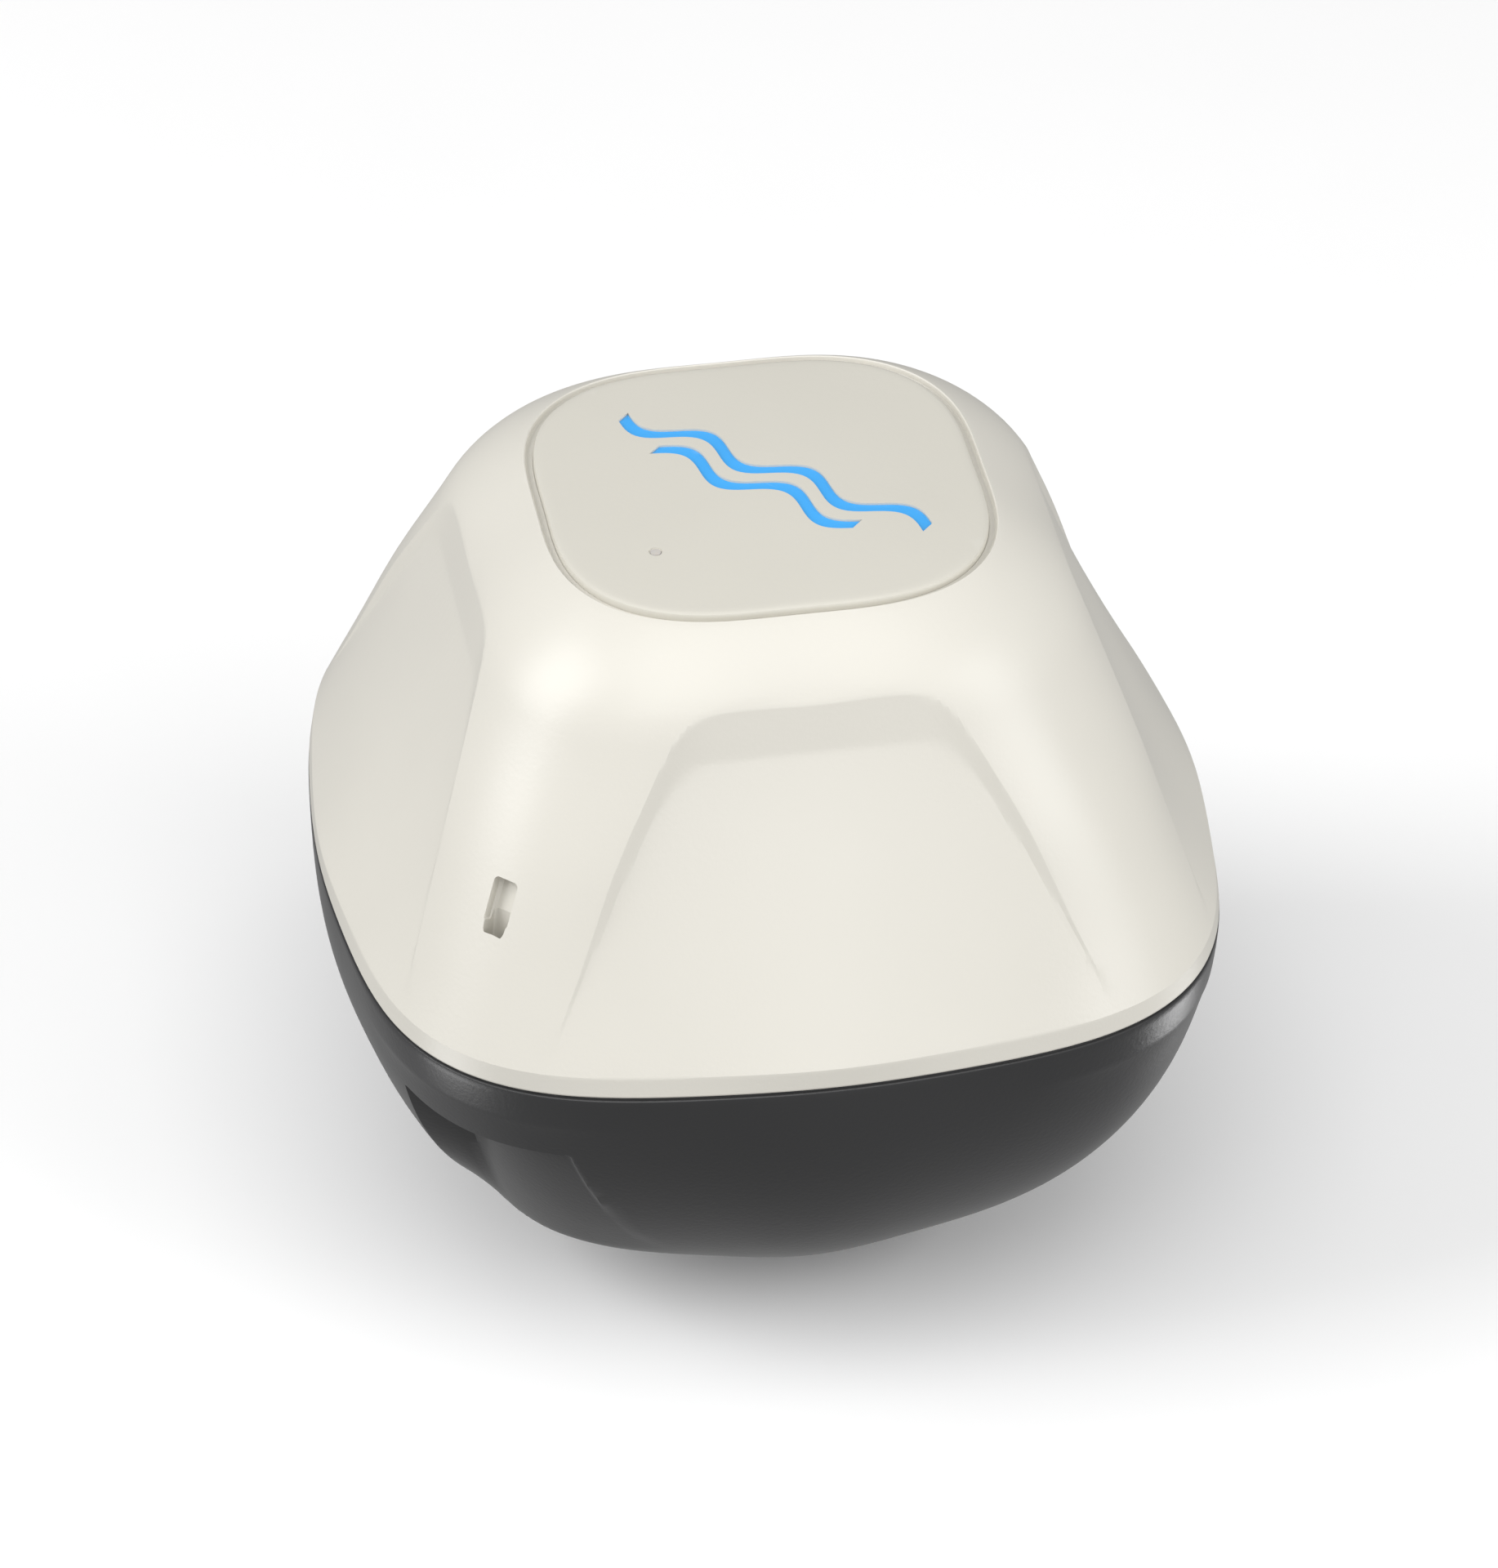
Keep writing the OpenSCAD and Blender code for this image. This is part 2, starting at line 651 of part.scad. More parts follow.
module piezo_disc() {
    color([0.85, 0.82, 0.76]) place() post(9.2, -inner_floor_h, -inner_floor_h + 3);
}

module backing_foam() {
    color([0.35, 0.30, 0.26]) place() post(9.2, -inner_floor_h + 3, -inner_floor_h + 5.8);
}

module transducer_can() {
    top = -inner_floor_h + 7;
    color(steel) place() difference() {
        post(can_r, -can_seat_h, top);
        post(can_r - 0.6, -can_seat_h - 1, top - 1);
        translate([0, -6, 0]) post(0.9, top - 2, top + 1);
    }
}

module transducer_lead() {
    color([0.15, 0.15, 0.16]) place() wire([
        [0, -6, -23.3], [0, -6.1, -21.8], [0, -9, -21.1], [0, -13, -20.8], [0.4, -14.6, -17],
        [1, -14.8, -8], [2, -14.4, 4], [3, -12, 9.6], [3, -11.7, 11.6], [3, -11.7, 13.3]
    ], 0.7);
}

module ballast_ring() {
    color([0.62, 0.60, 0.56]) place() difference() {
        post(15.8, -ballast_h, -ballast_h + 3.6);
        post(11.4, -ballast_h - 1, -ballast_h + 5);
    }
}

contact_r = 14.6;
contact_seat_h = 28.9;
contact_head_r = 1.6;
contact_shank_r = 0.8;
probe_head_r = 2;
probe_shank_r = 1.1;
module water_contacts() {
    color(steel) place() for (x = [-contact_r, contact_r]) translate([x, 0, 0]) {
        post(contact_head_r - 0.02, -31, -contact_seat_h);
        post(contact_shank_r - 0.02, -contact_seat_h, -ballast_h - 0.2);
    }
}

module temperature_probe() {
    color(brass) place() translate([0, contact_r, 0]) {
        post(probe_head_r - 0.02, -31.2, -contact_seat_h);
        post(probe_shank_r - 0.02, -contact_seat_h, -ballast_h - 0.2);
    }
}

// ---- Battery ----

tray_screw_x = 19.8;
foam_t = 1;
battery_foot = -tray_h + tray_t + foam_t;
module battery_tray() {
    color([0.85, 0.85, 0.83]) place() difference() {
        union() {
            block(-16.4, 16.4, -10.4, 10.4, -tray_h, -tray_h + tray_t);
            block(-22, 22, -3, 3, -tray_h, -tray_h + tray_t);
            for (s = [-1, 1]) {
                translate([s * 15.8, 0, 0]) block(-0.6, 0.6, -7, 7, -tray_h, -tray_h + 7);
                translate([0, s * 9.8, 0]) block(-8, 8, -0.6, 0.6, -tray_h, -tray_h + 7);
            }
        }
        for (x = [-tray_screw_x, tray_screw_x])
            translate([x, 0, 0]) post(1.05, -tray_h - 1, -tray_h + 3);
    }
}

module tray_screws() {
    color(steel) place() for (x = [-tray_screw_x, tray_screw_x]) translate([x, 0, 0]) {
        post(0.83, -tray_h - 3.6, -tray_h + tray_t);
        post(1.7, -tray_h + tray_t, -tray_h + tray_t + 1.2);
    }
}

module battery_foam() {
    color([0.20, 0.20, 0.21]) place() translate([0, 0, -tray_h + tray_t])
        rounded(battery_size[0] - 2, battery_size[1] - 2, foam_t, 1);
}

module battery() {
    color([0.30, 0.45, 0.62]) place() translate([0, 0, battery_foot])
        rounded(battery_size[0], battery_size[1], battery_size[2], 1.5);
}

module battery_leads() {
    for (side = [-1, 1])
        color(side < 0 ? [0.75, 0.10, 0.08] : rubber_black) place() wire([
            [-12.4, side, battery_foot + battery_size[2]], [-12.6, side, -6.5],
            [-13.4, side, -2], [-13.4, side, 6], [-11.6, side, 10], [-11.2, side, 11.8],
            [-11.2, side, 13.3]
        ], 0.6);
}

// ---- Main board ----

module main_board() {
    color(board_green) place() translate([0, 0, board_h]) difference() {
        linear_extrude(board_t) intersection() {
            rotate([0, 0, 45]) square(2 * board_half, center = true);
            square(40, center = true);
        }
        at_board_screws() post(1.1, -1, 3);
    }
}

module board_screws() {
    color(steel) place() at_board_screws() {
        post(1.8, board_h - 1.2, board_h);
        post(0.83, board_h - 0.1, board_h + board_t + 4);
    }
}

module gps_antenna() {
    color([0.88, 0.84, 0.72]) place() translate([1.5, 1.5, board_h + board_t]) {
        block(-9, 9, -9, 9, 0, 3.8);
        block(-7.5, 7.5, -7.5, 7.5, 3.8, 4);
    }
}

module shield_cans() {
    color(steel) place() translate([0, 0, board_h - 2]) {
        block(-7.5, 0.5, -5, 5, 0, 2);
        block(2, 11, -4, 5.5, 0, 2);
    }
}

module board_sockets() {
    color([0.92, 0.91, 0.86]) place() translate([0, 0, board_h - 2.4]) {
        block(-13.2, -9.2, -2.4, 2.4, 0, 2.4);
        block(0.8, 5.2, -13.4, -10, 0, 2.4);
        block(-3.2, 3.2, 12.2, 14.8, 0, 2.4);
    }
}

module status_led() {
    color([0.95, 0.95, 0.88]) place() translate([led_at[0], led_at[1], board_h + board_t])
        block(-0.8, 0.8, -0.5, 0.5, 0, 0.8);
}

upper_shell();
top_cover();
cover_inlay();
light_pipe();
shell_gasket();
lower_hull();
line_sleeve();
port_cap();
cap_hinge_pin();
port_seal();
usb_socket();
port_board();
port_board_screws();
port_flex();
case_screws();
screw_seals();
screw_inserts();
transducer_face();
piezo_disc();
backing_foam();
transducer_can();
transducer_lead();
ballast_ring();
water_contacts();
temperature_probe();
battery_tray();
tray_screws();
battery();
battery_foam();
battery_leads();
main_board();
board_screws();
gps_antenna();
shield_cans();
board_sockets();
status_led();
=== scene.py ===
"""Castable sonar float: off-white dome over a dark hull, seen from above its front panel."""

import json
import math

import bpy
import numpy as np
from mathutils import Matrix, Vector


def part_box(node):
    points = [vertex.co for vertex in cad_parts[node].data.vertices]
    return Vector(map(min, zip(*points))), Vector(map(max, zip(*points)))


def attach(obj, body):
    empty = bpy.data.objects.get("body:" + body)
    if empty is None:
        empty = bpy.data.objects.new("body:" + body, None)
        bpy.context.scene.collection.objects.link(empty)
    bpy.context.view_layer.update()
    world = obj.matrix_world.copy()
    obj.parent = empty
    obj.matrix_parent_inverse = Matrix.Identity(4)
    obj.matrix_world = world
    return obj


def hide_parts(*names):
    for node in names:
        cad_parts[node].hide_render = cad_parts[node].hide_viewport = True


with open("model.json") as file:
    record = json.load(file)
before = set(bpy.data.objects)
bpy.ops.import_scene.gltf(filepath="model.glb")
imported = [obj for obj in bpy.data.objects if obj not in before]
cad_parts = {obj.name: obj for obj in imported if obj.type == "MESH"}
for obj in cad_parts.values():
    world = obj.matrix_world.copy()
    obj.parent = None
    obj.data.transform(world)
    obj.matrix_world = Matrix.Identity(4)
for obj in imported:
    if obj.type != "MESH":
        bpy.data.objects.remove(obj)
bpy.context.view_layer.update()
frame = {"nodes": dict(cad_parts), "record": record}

MM = 0.001
PARTING_Z = 0.5 * (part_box("upper_shell")[0].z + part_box("lower_hull")[1].z)

# ---- Sizes in millimetres about the parting plane, as the CAD part has them ----

RIM_R = 36
RIM_SQUARENESS = 0.066
SQUARE_DROP = 0.003     # squareness lost just off the rim
SQUARE_GAIN = 0.0195    # extra squareness halfway up the dome
SQUARE_MID_H = 16
SQUARE_SPREAD = 6.5
SIDE_SWING = 0.014      # swing of the outline's second harmonic up the dome
SWING_LEAST = -0.003
SWING_BLEND = 0.008
DOME_H = 31
BAND_H = 1.8
BAND_DRAFT = 0.0033
RIDGE_SLOPE = 0.01355
SHOULDER_H = 24
HULL_DEPTH = 33
FLOOR_H = 31
BOWL_POWERS = (1.91, 0.495)
BASE_SQUARENESS = 0.027
BASE_SWING = 0.017
CREASE_H = 3.1          # lower edge of the hull's corner bands
CREASE_IN = 0.4
INSIDE_RISE = 1.2       # how much lower than the ridges the dome's inside runs
INSIDE_DROP = 1.6       # how much higher than the bowl the hull's inside runs
INSIDE_GAP = 0.2

PANEL_TOP_H = 22.7
PANEL_TOP_R = 23
PANEL_TOP_HALF_W = 10.3
STEP_LEAN = 0.28
PANEL_CREST_H = 26.15   # height at which the step meets the ridge surface
PANEL_DISH = 0.4
PANEL_FOOT_H = 7
PANEL_FOOT = (29, 19.2)
WALL_TURN = 0.3
EDGE_BLEND = 0.05       # softness of the panels' edges, a little more than the CAD part's
CORNER_BLEND = 0.7      # softness of the panels' upper corners

COVER_R = 17.8
COVER_CROWN = 0.4
SEAT_H = 29.6
GROOVE_FOOT_H = 30.35
INLAY_AT = (0.4, 0.2)
INLAY_TURN = -43
LED_AT = (-9.2, -7.8)
PIPE_R = 0.4

LEDGE_H = 6.4
SCOOP_HALF_W = 7.6
SCOOP_IN = 3.7
SCOOP_END_H = 22
SCOOP_SLOPE_W = 3.3     # width of the slope on its far side
SCOOP_SPREAD = 1.8      # how much its near side moves out towards the foot
SCOOP_LIP = 0.08        # share of its depth that is left at its near side
SCOOP_SIDE = 225        # direction of the scoop and the line slot
SLOT_W = 1.9
SLOT_L = 1.6
SLOT_TOP = (33.2, 12.4)
SLOT_LEAN = 8.17
SLOT_MOUTH_W = 2.1
SLOT_MOUTH_L = 3.6
SLOT_MOUTH_LEAN = -62
SLOT_FOOT = -24

PORT_H = 9
PORT_TILT = 15
HINGE_V = -5.8
HINGE_W = -1.5
BARREL_R = 1.3
PIN_R = 0.6
CAP_HALF_W = 7.4
CAP_T = 2
CAP_GAP = 0.2
POCKET_TOP = 4.6
POCKET_FOOT = -3.6
CAP_NECK_W = 4.5
PORT_BOSS = (-9.6, 9.6, -9.4, 6.4, -6.5, 2)

WALL = 2
SCREW_R = 20
CORNERS = (45, 135, 225, 315)
COLUMN_R = 3.8
WELL_R = 2.5
HEAD_H = 12
FACE_R = 11.5
CONTACT_R = 14.6
CONTACT_HOLE = (1.6, 0.8)   # radii of the head and the shank
PROBE_HOLE = (2, 1.1)
HEAD_SEAT_H = 28.9


# ---- Outline and surface functions, angles in degrees ----

def cosd(a):
    return np.cos(np.radians(a))


def sind(a):
    return np.sin(np.radians(a))


def fold(a):
    """Angle from the middle of the nearest flat side."""
    return np.abs((np.asarray(a, float) + 45) % 90 - 45)


def outline(r, e4, e8, a):
    return r * (1 - e4 * cosd(4 * a) + e8 * cosd(8 * a))


def lerp(a, b, t):
    return a + (b - a) * t


def soft_min(a, b, k):
    return np.minimum(a, b) - np.maximum(k - np.abs(a - b), 0) ** 2 / (4 * k)


def soft_max(a, b, k):
    return np.maximum(a, b) + np.maximum(k - np.abs(a - b), 0) ** 2 / (4 * k)


def smooth(t):
    t = np.clip(t, 0, 1)
    return t * t * (3 - 2 * t)


RIDGE_FOOT = 1 - BAND_DRAFT * BAND_H
SHOULDER_DROP = RIDGE_FOOT - RIDGE_SLOPE * (DOME_H - BAND_H) - COVER_R / RIM_R


def ridge_scale(h):
    slope = RIDGE_FOOT - RIDGE_SLOPE * (h - BAND_H)
    turn = np.maximum(h - SHOULDER_H, 0) / (DOME_H - SHOULDER_H)
    return np.where(h < BAND_H, 1 - BAND_DRAFT * h, slope - SHOULDER_DROP * turn ** 2.4)


def ridge_squareness(h):
    bump = np.exp(-((h - SQUARE_MID_H) / SQUARE_SPREAD) ** 2)
    return RIM_SQUARENESS - SQUARE_DROP + SQUARE_GAIN * bump


def ridge_swing(h):
    swing = soft_max(SIDE_SWING * cosd(9 * (h - 6)), SWING_LEAST, SWING_BLEND)
    return swing * np.minimum(1, (DOME_H - h) / 4)


def ridge(a, h):
    h = np.asarray(h, float)
    return outline(RIM_R * ridge_scale(h), ridge_squareness(h), ridge_swing(h), a)


def panel_floor(a, h):
    t = (h - BAND_H) / (PANEL_TOP_H - BAND_H)
    straight = lerp(ridge(a, BAND_H), PANEL_TOP_R / cosd(fold(a)), t)
    return straight - 4 * PANEL_DISH * t * (1 - t)


def panel_step(a, h):
    return (PANEL_TOP_R - STEP_LEAN * (h - PANEL_TOP_H)) / cosd(fold(a))


WALL_TOP = Vector((PANEL_TOP_HALF_W, PANEL_TOP_R, PANEL_TOP_H))
WALL_EDGE = (Vector((PANEL_FOOT[1], PANEL_FOOT[0], PANEL_FOOT_H)) - WALL_TOP).normalized()
WALL_NORMAL = WALL_EDGE.cross(Vector((-WALL_TURN, 1, 0.2))).cross(WALL_EDGE).normalized()


def wall_reach(h):
    return WALL_NORMAL.dot(WALL_TOP) - WALL_NORMAL.z * h


def panel_wall(a, h):
    """Plane of the wall beside each panel."""
    return wall_reach(h) / (WALL_NORMAL.x * sind(fold(a)) + WALL_NORMAL.y * cosd(fold(a)))


def wall_angle(h, r):
    """Angle at which the wall reaches a distance r from the axis."""
    lean = math.degrees(math.atan2(WALL_NORMAL.x, WALL_NORMAL.y))
    flat = math.hypot(WALL_NORMAL.x, WALL_NORMAL.y)
    return lean + math.degrees(math.acos(min(1, wall_reach(h) / (float(r) * flat))))


def dome(a, h):
    sides = soft_max(panel_step(a, h), panel_wall(a, h), CORNER_BLEND)
    return soft_min(ridge(a, h), soft_max(panel_floor(a, h), sides, EDGE_BLEND), EDGE_BLEND)


def bowl(a, h):
    t = np.asarray(h, float) / HULL_DEPTH
    return outline(
        RIM_R * np.maximum(1 - t ** BOWL_POWERS[0], 0) ** BOWL_POWERS[1],
        lerp(RIM_SQUARENESS - SQUARE_DROP, BASE_SQUARENESS, t),
        lerp(ridge_swing(0), BASE_SWING, t),
        a,
    )


def band_crease(a, h):
    """Crease under the corner bands, below the rim."""
    u = np.maximum(np.asarray(h, float) - CREASE_H, 0)
    corner = smooth((fold(a) - 22) / 14)
    return CREASE_IN * corner * (1 - np.exp(-u / 2)) * np.exp(-u / 9)


def scoop_depth(a, h, grow=0.0):
    """The scoop is deepest beside its slope and runs out towards its other side."""
    turn = (np.asarray(a, float) - SCOOP_SIDE + 540) % 360 - 180
    t = np.clip((np.asarray(h, float) - LEDGE_H) / (SCOOP_END_H - LEDGE_H), 0, 1)
    across = bowl(a, h) * sind(np.clip(turn, -60, 60))
    far = SCOOP_SLOPE_W - SCOOP_HALF_W
    near = SCOOP_HALF_W + SCOOP_SPREAD * t + grow
    slope = np.maximum((across + SCOOP_HALF_W + grow) / SCOOP_SLOPE_W, 0)
    fall = 1 - (1 - SCOOP_LIP) * (across - far) / (near - far)
    profile = np.minimum(np.minimum(slope, 1), fall)
    side = smooth((near + 0.2 - across) / 0.4)
    ledge = smooth((h - LEDGE_H + grow) / 0.25)
    return SCOOP_IN * (1 - t * t) * profile * side * ledge


def hull(a, h):
    return bowl(a, h) - band_crease(a, h) - scoop_depth(a, h)


def cover_outline(a, grow):
    return outline(COVER_R, float(ridge_squareness(DOME_H)), 0, a) + grow


# ---- Mesh building ----

def new_object(name, points, faces):
    """Mesh object from points in millimetres about the parting plane."""
    mesh = bpy.data.meshes.new(name)
    lifted = np.asarray(points, float) * MM + np.array([0, 0, PARTING_Z])
    mesh.from_pydata(lifted.tolist(), [], faces)
    mesh.validate()
    obj = bpy.data.objects.new(name, mesh)
    bpy.context.scene.collection.objects.link(obj)
    return obj


def ring_faces(rings, n, first):
    """Quads between rings of n points that start at index first."""
    i = np.arange(n)
    j = (i + 1) % n
    faces = []
    for k in range(rings - 1):
        p = first + k * n
        faces.extend(np.column_stack([p + i, p + j, p + n + j, p + n + i])[:, ::-1].tolist())
    return faces


def lathe(name, rows, first_z, last_z):
    """Closed solid through rings (angles, radii, heights) between two points on the axis."""
    n = len(rows[0][0])
    points = [np.array([[0, 0, first_z]])]
    for angles, radii, height in rows:
        heights = np.broadcast_to(height, np.shape(angles))
        points.append(np.column_stack([radii * cosd(angles), radii * sind(angles), heights]))
    points.append(np.array([[0, 0, last_z]]))
    faces = ring_faces(len(rows), n, 1)
    last = 1 + (len(rows) - 1) * n
    end = last + n
    for i in range(n):
        j = (i + 1) % n
        faces.append([0, 1 + j, 1 + i][::-1])
        faces.append([end, last + i, last + j][::-1])
    return new_object(name, np.vstack(points), faces)


def turned(name, profile, segments=64, at=(0, 0), place=None):
    """Solid of revolution from (radius, height) pairs, along +Z or the axis of place."""
    i = np.arange(segments) * 360 / segments
    low, high = profile[0][1], profile[-1][1]
    points = [[0, 0, low]]
    for r, z in profile:
        points.extend(np.column_stack([r * cosd(i), r * sind(i), np.full(segments, z)]).tolist())
    points.append([0, 0, high])
    faces = [f[::-1] for f in ring_faces(len(profile), segments, 1)]
    last = 1 + (len(profile) - 1) * segments
    for k in range(segments):
        j = (k + 1) % segments
        faces.append([0, 1 + j, 1 + k])
        faces.append([len(points) - 1, last + k, last + j])
    points = np.array(points) + np.array([at[0], at[1], 0])
    return new_object(name, placed(points, place), faces)


def placed(points, place):
    points = np.asarray(points, float)
    if place is None:
        return points
    m = np.array(place)
    return points @ m[:3, :3].T + m[:3, 3]


def block(name, x0, x1, y0, y1, z0, z1, place=None):
    points = [(x, y, z) for x in (x0, x1) for y in (y0, y1) for z in (z0, z1)]
    faces = [(0, 1, 3, 2), (4, 6, 7, 5), (0, 4, 5, 1), (2, 3, 7, 6), (0, 2, 6, 4), (1, 5, 7, 3)]
    return new_object(name, placed(points, place), faces)


def prism(name, outline_points, layers, place=None):
    """Stack of outlines: layers are (inset, z) pairs, inset along each point's own normal."""
    p = np.asarray(outline_points, float)
    n = len(p)
    edge = np.roll(p, -1, 0) - np.roll(p, 1, 0)
    normal = np.column_stack([edge[:, 1], -edge[:, 0]]) / np.linalg.norm(edge, axis=1)[:, None]
    points = []
    for inset, z in layers:
        points.extend(np.column_stack([p - normal * inset, np.full(n, z)]).tolist())
    faces = [f[::-1] for f in ring_faces(len(layers), n, 0)]
    faces.append(list(range(n))[::-1])
    faces.append([(len(layers) - 1) * n + i for i in range(n)])
    return new_object(name, placed(points, place), faces)


def rounded_outline(x0, x1, y0, y1, r, steps=8):
    """Counter-clockwise rounded rectangle."""
    points = []
    corners = [(x1 - r, y0 + r, -90), (x1 - r, y1 - r, 0),
               (x0 + r, y1 - r, 90), (x0 + r, y0 + r, 180)]
    for cx, cy, start in corners:
        for k in range(steps + 1):
            t = math.radians(start + 90 * k / steps)
            points.append((cx + r * math.cos(t), cy + r * math.sin(t)))
    return points


def apply_modifier(obj, kind, **values):
    modifier = obj.modifiers.new(kind, kind)
    for key, value in values.items():
        setattr(modifier, key, value)
    bpy.context.view_layer.update()
    mesh = bpy.data.meshes.new_from_object(
        obj.evaluated_get(bpy.context.evaluated_depsgraph_get()))
    obj.modifiers.clear()
    old = obj.data
    obj.data = mesh
    bpy.data.meshes.remove(old)


def combine(obj, operation, *others):
    """Boolean of obj with closed solids, which are used up."""
    for other in others:
        apply_modifier(obj, "BOOLEAN", operation=operation, solver="MANIFOLD", object=other)
        bpy.data.objects.remove(other)
    return obj


def finish_piece(obj, node, body, slot, sharp=32):
    obj.data.shade_smooth()
    obj.data.set_sharp_from_angle(angle=math.radians(sharp))
    obj.data.materials.clear()
    obj.data.materials.append(materials[slot])
    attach(obj, body)
    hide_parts(node)


# ---- Materials ----

def linear(hexcode):
    values = [int(hexcode[i:i + 2], 16) / 255 for i in (0, 2, 4)]
    return [v / 12.92 if v <= 0.04045 else ((v + 0.055) / 1.055) ** 2.4 for v in values] + [1]


def procedural(name, colour, roughness, metallic=0.0, grain=2600, bump=0.05, tint=0.03,
               wear=0.15, spread=0.06, subsurface=0.0, coat=0.0, sheen=0.0):
    """Surface with a fine grain, slow changes of colour and gloss, and lighter worn edges."""
    material = bpy.data.materials.new(name)
    material.use_nodes = True
    nodes = material.node_tree.nodes
    links = material.node_tree.links
    shader = nodes["Principled BSDF"]
    shader.inputs["Metallic"].default_value = metallic
    shader.inputs["Coat Weight"].default_value = coat
    shader.inputs["IOR"].default_value = 1.5
    shader.inputs["Sheen Weight"].default_value = sheen
    shader.inputs["Sheen Roughness"].default_value = 0.35
    if subsurface:
        shader.inputs["Subsurface Weight"].default_value = subsurface
        shader.inputs["Subsurface Radius"].default_value = (0.002, 0.0015, 0.001)
        shader.inputs["Subsurface Scale"].default_value = 1.0
    place = nodes.new("ShaderNodeTexCoord")

    def noise(scale, detail):
        node = nodes.new("ShaderNodeTexNoise")
        node.inputs["Scale"].default_value = scale
        node.inputs["Detail"].default_value = detail
        links.new(place.outputs["Object"], node.inputs["Vector"])
        return node

    def remap(source, low, high, to_low, to_high):
        node = nodes.new("ShaderNodeMapRange")
        for socket, value in zip(("From Min", "From Max", "To Min", "To Max"),
                                 (low, high, to_low, to_high)):
            node.inputs[socket].default_value = value
        links.new(source, node.inputs["Value"])
        return node.outputs["Result"]

    def mix(factor, first, second):
        node = nodes.new("ShaderNodeMix")
        node.data_type = "RGBA"
        links.new(factor, node.inputs["Factor"])
        for socket, value in (("A", first), ("B", second)):
            target = [s for s in node.inputs if s.name == socket and s.type == "RGBA"][0]
            if isinstance(value, list):
                target.default_value = value
            else:
                links.new(value, target)
        return [s for s in node.outputs if s.type == "RGBA"][0]

    base = linear(colour)
    darker = [v * (1 - tint) for v in base[:3]] + [1]
    lighter = [min(1, v * (1 + tint)) for v in base[:3]] + [1]
    worn = [lerp(v, 1, 0.25) for v in base[:3]] + [1]
    slow = noise(55, 3)
    fine = noise(grain, 2)
    colour_out = mix(remap(slow.outputs["Fac"], 0.35, 0.65, 0, 1), darker, lighter)
    geometry = nodes.new("ShaderNodeNewGeometry")
    edge = remap(geometry.outputs["Pointiness"], 0.53, 0.62, 0, wear)
    links.new(mix(edge, colour_out, worn), shader.inputs["Base Color"])
    links.new(remap(slow.outputs["Fac"], 0.3, 0.7, roughness - spread, roughness + spread),
              shader.inputs["Roughness"])
    relief = nodes.new("ShaderNodeBump")
    relief.inputs["Strength"].default_value = bump
    relief.inputs["Distance"].default_value = 0.0001
    links.new(fine.outputs["Fac"], relief.inputs["Height"])
    links.new(relief.outputs["Normal"], shader.inputs["Normal"])
    return material


materials = {
    "shell_plastic": procedural("shell_plastic", "d6d3ca", 0.34, tint=0.008, bump=0.10),
    "cover_plastic": procedural("cover_plastic", "cdcac0", 0.38, tint=0.008, bump=0.12),
    "inlay_plastic": procedural("inlay_plastic", "3fa6ee", 0.35, tint=0.02),
    "light_pipe": procedural("light_pipe", "c9c2ba", 0.25, tint=0.02, subsurface=0.3),
    "seal_rubber": procedural("seal_rubber", "141414", 0.6, grain=1800, bump=0.15),
    "hull_plastic": procedural("hull_plastic", "2e2e2f", 0.34, tint=0.04, bump=0.16, sheen=0.1),
    "sleeve_plastic": procedural("sleeve_plastic", "c9c6ba", 0.5),
    "cap_rubber": procedural("cap_rubber", "2b2b2c", 0.62, grain=1800, bump=0.2, tint=0.06),
    "steel": procedural("steel", "c6c7ca", 0.28, metallic=1.0, bump=0.04),
    "circuit_board": procedural("circuit_board", "17603f", 0.4, tint=0.12, coat=0.3),
    "flex_film": procedural("flex_film", "b8741f", 0.3, tint=0.1, coat=0.2),
    "brass": procedural("brass", "d0a850", 0.3, metallic=1.0, bump=0.04),
    "face_plastic": procedural("face_plastic", "1e1f20", 0.34, grain=1500, bump=0.08, tint=0.05),
    "piezo_ceramic": procedural("piezo_ceramic", "d8d0c0", 0.6, tint=0.04),
    "dark_foam": procedural("dark_foam", "3a3a3a", 0.9, grain=900, bump=0.8, tint=0.2),
    "can_steel": procedural("can_steel", "bfc1c4", 0.35, metallic=1.0, bump=0.06),
    "lead_black": procedural("lead_black", "1d1d1d", 0.5, bump=0.08),
    "lead_red": procedural("lead_red", "a01c1c", 0.5, bump=0.08),
    "ballast_steel": procedural("ballast_steel", "9c9993", 0.45, metallic=1.0, bump=0.2, tint=0.1),
    "tray_plastic": procedural("tray_plastic", "c8c8c4", 0.5),
    "battery_wrap": procedural("battery_wrap", "3f6c9c", 0.35, tint=0.05, coat=0.2),
    "antenna_ceramic": procedural("antenna_ceramic", "e0d6b8", 0.5, tint=0.05),
    "socket_plastic": procedural("socket_plastic", "e4e0d4", 0.45),
}

for part in frame["record"]["subparts"]:
    node = frame["nodes"][part["node"]]
    node.data.materials.clear()
    node.data.materials.append(materials[part["material_slot"]])


# ---- Upper shell ----

EDGE_STEPS = np.array([0.06, 0.15, 0.4, 0.9])    # columns beside an edge, mm from it


def around(octant):
    """Angles all round from those between the middle of a side (0) and a corner (45)."""
    octant = np.asarray(octant)
    quarter = np.concatenate([octant, 90 - octant[-2::-1]])[:-1]
    return np.concatenate([quarter + 90 * k for k in range(4)])


